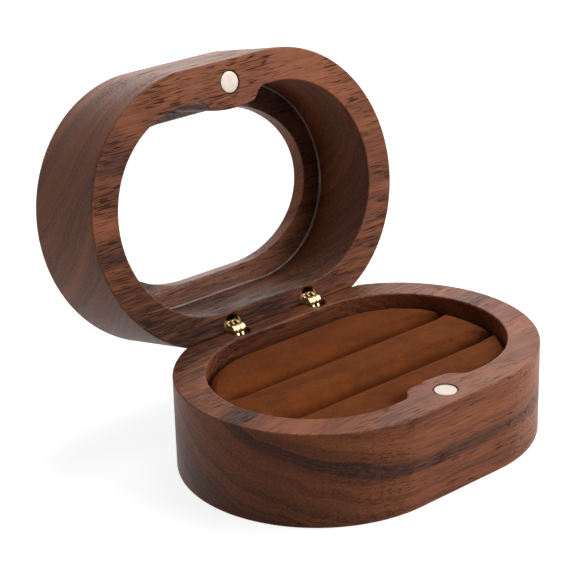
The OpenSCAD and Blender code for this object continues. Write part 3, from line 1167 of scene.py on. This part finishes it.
def tumbled_copy(node, ease):
    """A copy of a CAD piece with its loose triangles joined and its edges rounded over."""
    shell = bmesh.new()
    shell.from_mesh(frame["nodes"][node].data)
    bmesh.ops.remove_doubles(shell, verts=shell.verts, dist=1e-7)
    bmesh.ops.dissolve_limit(
        shell, angle_limit=math.radians(1.0), verts=shell.verts, edges=shell.edges,
    )
    mesh = bpy.data.meshes.new(node + "_tumbled")
    shell.to_mesh(mesh)
    shell.free()
    blank = link_new(node + "_blank", mesh)
    bevel = blank.modifiers.new("ease", "BEVEL")
    bevel.width = ease
    bevel.segments = 3
    bevel.limit_method = "ANGLE"
    bevel.angle_limit = math.radians(35)
    eased_mesh = modified(blank)
    bpy.data.objects.remove(blank)
    return eased_mesh


class RINGBOX_OT_hinges(bpy.types.Operator):
    """Gives the barrels, leaves and pins of both hinges their brass and their tumbled edges"""

    bl_idname = "ringbox.hinges"
    bl_label = "Barrel hinges"

    def execute(self, context):
        look = context.scene.ringbox_metal
        # The barrels' dark colour is painted shade from their bores; their lines and roughness are those of turned
        # brass
        turned = metal("turned_brass", look.barrel, (1.2, 7.0, 7.0), 0.42, 0.1, 0.000003)
        stamped = metal("stamped_brass", look.brass, (5.0, 1.5, 1.5), 0.26, 0.1, 0.000002)
        drawn = metal("drawn_brass", look.brass, (1.0, 9.0, 9.0), 0.22, 0.1, 0.000002)
        kinds = {"brass_barrel": turned, "brass_leaf": stamped, "brass_pin": drawn}
        slots = {s["node"]: s["material_slot"] for s in frame["record"]["subparts"]}
        for body, nodes in frame["record"]["behaviour"]["bodies"].items():
            for node in nodes:
                brass = kinds.get(slots[node])
                if brass is None:
                    continue
                name = node
                for word in ("leaf", "barrel", "pin"):
                    name = name.replace(word, "brass_" + word)
                place(name, tumbled_copy(node, look.ease), brass, body, slots[node], node, sharp=30)
        return {"FINISHED"}


# ---------------------------------------------------------------------------
# Stage: camera, lights, floor
# ---------------------------------------------------------------------------

CAMERA_AZIMUTH = -40.67
CAMERA_ELEVATION = 22.64
CAMERA_ROLL = -1.54
CAMERA_DISTANCE = 411.9
CAMERA_AIM = (-2.37, 20.60, 31.20)
CAMERA_LENS = 114.6
LAMP_AIM = Vector((0, 0, 30))
# Half the side of the floor, and where its glow starts to rise and has reached white
FLOOR_SPAN = 3000.0
GLOW_NEAR = 300.0
GLOW_FAR = 1100.0


def camera_axes(azimuth, elevation, roll):
    """The camera's right, up and backward axes; azimuth 0 looks along +Y."""
    a, e, t = (math.radians(v) for v in (azimuth, elevation, roll))
    right = Vector((math.cos(a), math.sin(a), 0))
    back = Vector((math.sin(a) * math.cos(e), -math.cos(a) * math.cos(e), math.sin(e)))
    up = back.cross(right)
    return right * math.cos(t) + up * math.sin(t), up * math.cos(t) - right * math.sin(t), back


def softbox(name, location, size, watts):
    """A rectangular area light that faces the box."""
    data = bpy.data.lights.new(name, "AREA")
    data.shape = "RECTANGLE"
    data.size, data.size_y = (s * MM for s in size)
    data.energy = watts
    lamp = link_new(name, data)
    lamp.location = Vector(location) * MM
    lamp.rotation_euler = (LAMP_AIM - Vector(location)).to_track_quat("-Z", "Y").to_euler()


def seen_rays(tree, kinds=("Is Camera Ray", "Is Glossy Ray", "Is Transmission Ray")):
    """1 for rays that show things, straight, mirrored or through glass, and 0 for light on things.

    A ray that left a dull surface is light on it, also where it goes on through the pane.
    """
    path = add(tree, "ShaderNodeLightPath")
    seen = path.outputs[kinds[0]]
    for kind in kinds[1:]:
        seen = math_node(tree, "MAXIMUM", seen, path.outputs[kind])
    dull = math_node(tree, "MINIMUM", path.outputs["Diffuse Depth"], 1.0)
    return times(tree, seen, minus(tree, 1.0, dull))


def studio_world(around):
    """White behind the box, and a weak light from all round that is dimmer in front of it.

    The camera and the pane see plain white. Reflections see a room that is white behind the
    box, like its backdrop, and falls off towards the front left.
    """
    world = bpy.data.worlds.new("studio")
    world.use_nodes = True
    tree = world.node_tree
    tree.nodes.clear()
    heading = add(tree, "ShaderNodeTexCoord").outputs["Generated"]
    toward = add(tree, "ShaderNodeVectorMath", {0: heading, 1: (0.35, 0.85, 0.35)}, operation="DOT_PRODUCT")
    room = step_up(tree, toward.outputs["Value"], -0.7, 0.5, 0.8, 1.0)
    plain = seen_rays(tree, ("Is Camera Ray", "Is Transmission Ray"))
    mirrored = seen_rays(tree, ("Is Glossy Ray",))
    strength = times(tree, room, math_node(tree, "MAXIMUM", mirrored, around))
    strength = math_node(tree, "MAXIMUM", plain, strength)
    light = add(tree, "ShaderNodeBackground", {"Color": (1, 1, 1, 1), "Strength": strength})
    add(tree, "ShaderNodeOutputWorld", {"Surface": light.outputs[0]})
    bpy.context.scene.world = world


def studio_floor(tint, glow):
    """A wide pale floor that keeps the shadow of the box, and looks white where nothing shades it."""
    mesh = bpy.data.meshes.new("floor")
    span = FLOOR_SPAN * MM
    corners = [(-span, -span, 0), (span, -span, 0), (span, span, 0), (-span, span, 0)]
    mesh.from_pydata(corners, [], [(0, 1, 2, 3)])
    material, tree, shader = new_material("pale_floor")
    away = add(tree, "ShaderNodeVectorMath", {0: object_mm(tree)}, operation="LENGTH").outputs["Value"]
    shown = step_up(tree, away, GLOW_NEAR, GLOW_FAR, glow, 1.0)
    feed(tree, shader, {
        "Base Color": (*tint, 1),
        "Roughness": 0.9,
        "Specular IOR Level": 0.0,
        "Emission Color": (1, 1, 1, 1),
        "Emission Strength": times(tree, seen_rays(tree), shown),
    })
    mesh.materials.append(material)
    floor = link_new("studio_floor", mesh)


class RINGBOX_OT_stage(bpy.types.Operator):
    """Sets the camera, the soft lights and the pale floor"""

    bl_idname = "ringbox.stage"
    bl_label = "Stage"

    def execute(self, context):
        scene = context.scene
        look = scene.ringbox_stage
        right, up, back = camera_axes(CAMERA_AZIMUTH, CAMERA_ELEVATION, CAMERA_ROLL)
        data = bpy.data.cameras.new("camera")
        data.lens = CAMERA_LENS
        data.clip_start, data.clip_end = 0.01, 20.0
        camera = link_new("camera", data)
        place_at = (Vector(CAMERA_AIM) + back * CAMERA_DISTANCE) * MM
        turn = Matrix((right, up, back)).transposed().to_4x4()
        camera.matrix_world = Matrix.Translation(place_at) @ turn
        scene.camera = camera
        softbox("top_softbox", (320, 140, 530), (520, 520), look.top)
        softbox("back_softbox", (400, 560, 200), (640, 360), look.back)
        softbox("left_softbox", (-520, 280, 300), (420, 360), look.left)
        softbox("front_softbox", (500, -560, 380), (600, 480), look.front)
        studio_world(look.around)
        studio_floor(look.floor, look.glow)
        scene.view_settings.view_transform = "Standard"
        return {"FINISHED"}


# ---------------------------------------------------------------------------
# Panel and registration
# ---------------------------------------------------------------------------

OPERATORS = (
    RINGBOX_OT_stage,
    RINGBOX_OT_base,
    RINGBOX_OT_lid,
    RINGBOX_OT_pane,
    RINGBOX_OT_magnets,
    RINGBOX_OT_cushions,
    RINGBOX_OT_hinges,
)

GROUPS = {
    "ringbox_walnut": RINGBOX_PG_walnut,
    "ringbox_suede": RINGBOX_PG_suede,
    "ringbox_metal": RINGBOX_PG_metal,
    "ringbox_pane": RINGBOX_PG_pane,
    "ringbox_stage": RINGBOX_PG_stage,
}


class RINGBOX_PT_sidebar(bpy.types.Panel):
    """Sizes, colours and pieces of the ring display box"""

    bl_label = "Ring Box"
    bl_idname = "RINGBOX_PT_sidebar"
    bl_space_type = "VIEW_3D"
    bl_region_type = "UI"
    bl_category = "Ring Box"

    def draw(self, context):
        for name, group in GROUPS.items():
            box = self.layout.box()
            for key in group.__annotations__:
                box.prop(getattr(context.scene, name), key)
        for operator in OPERATORS:
            self.layout.operator(operator.bl_idname)


def register():
    for group in GROUPS.values():
        bpy.utils.register_class(group)
    for operator in OPERATORS:
        bpy.utils.register_class(operator)
    bpy.utils.register_class(RINGBOX_PT_sidebar)
    for name, group in GROUPS.items():
        setattr(bpy.types.Scene, name, PointerProperty(type=group))


def unregister():
    for name in GROUPS:
        delattr(bpy.types.Scene, name)
    bpy.utils.unregister_class(RINGBOX_PT_sidebar)
    for operator in reversed(OPERATORS):
        bpy.utils.unregister_class(operator)
    for group in GROUPS.values():
        bpy.utils.unregister_class(group)


def main():
    """Builds every piece and the stage."""
    register()
    bpy.ops.ringbox.stage()
    bpy.ops.ringbox.base()
    bpy.ops.ringbox.lid()
    bpy.ops.ringbox.pane()
    bpy.ops.ringbox.magnets()
    bpy.ops.ringbox.cushions()
    bpy.ops.ringbox.hinges()


if __name__ == "__main__":
    main()
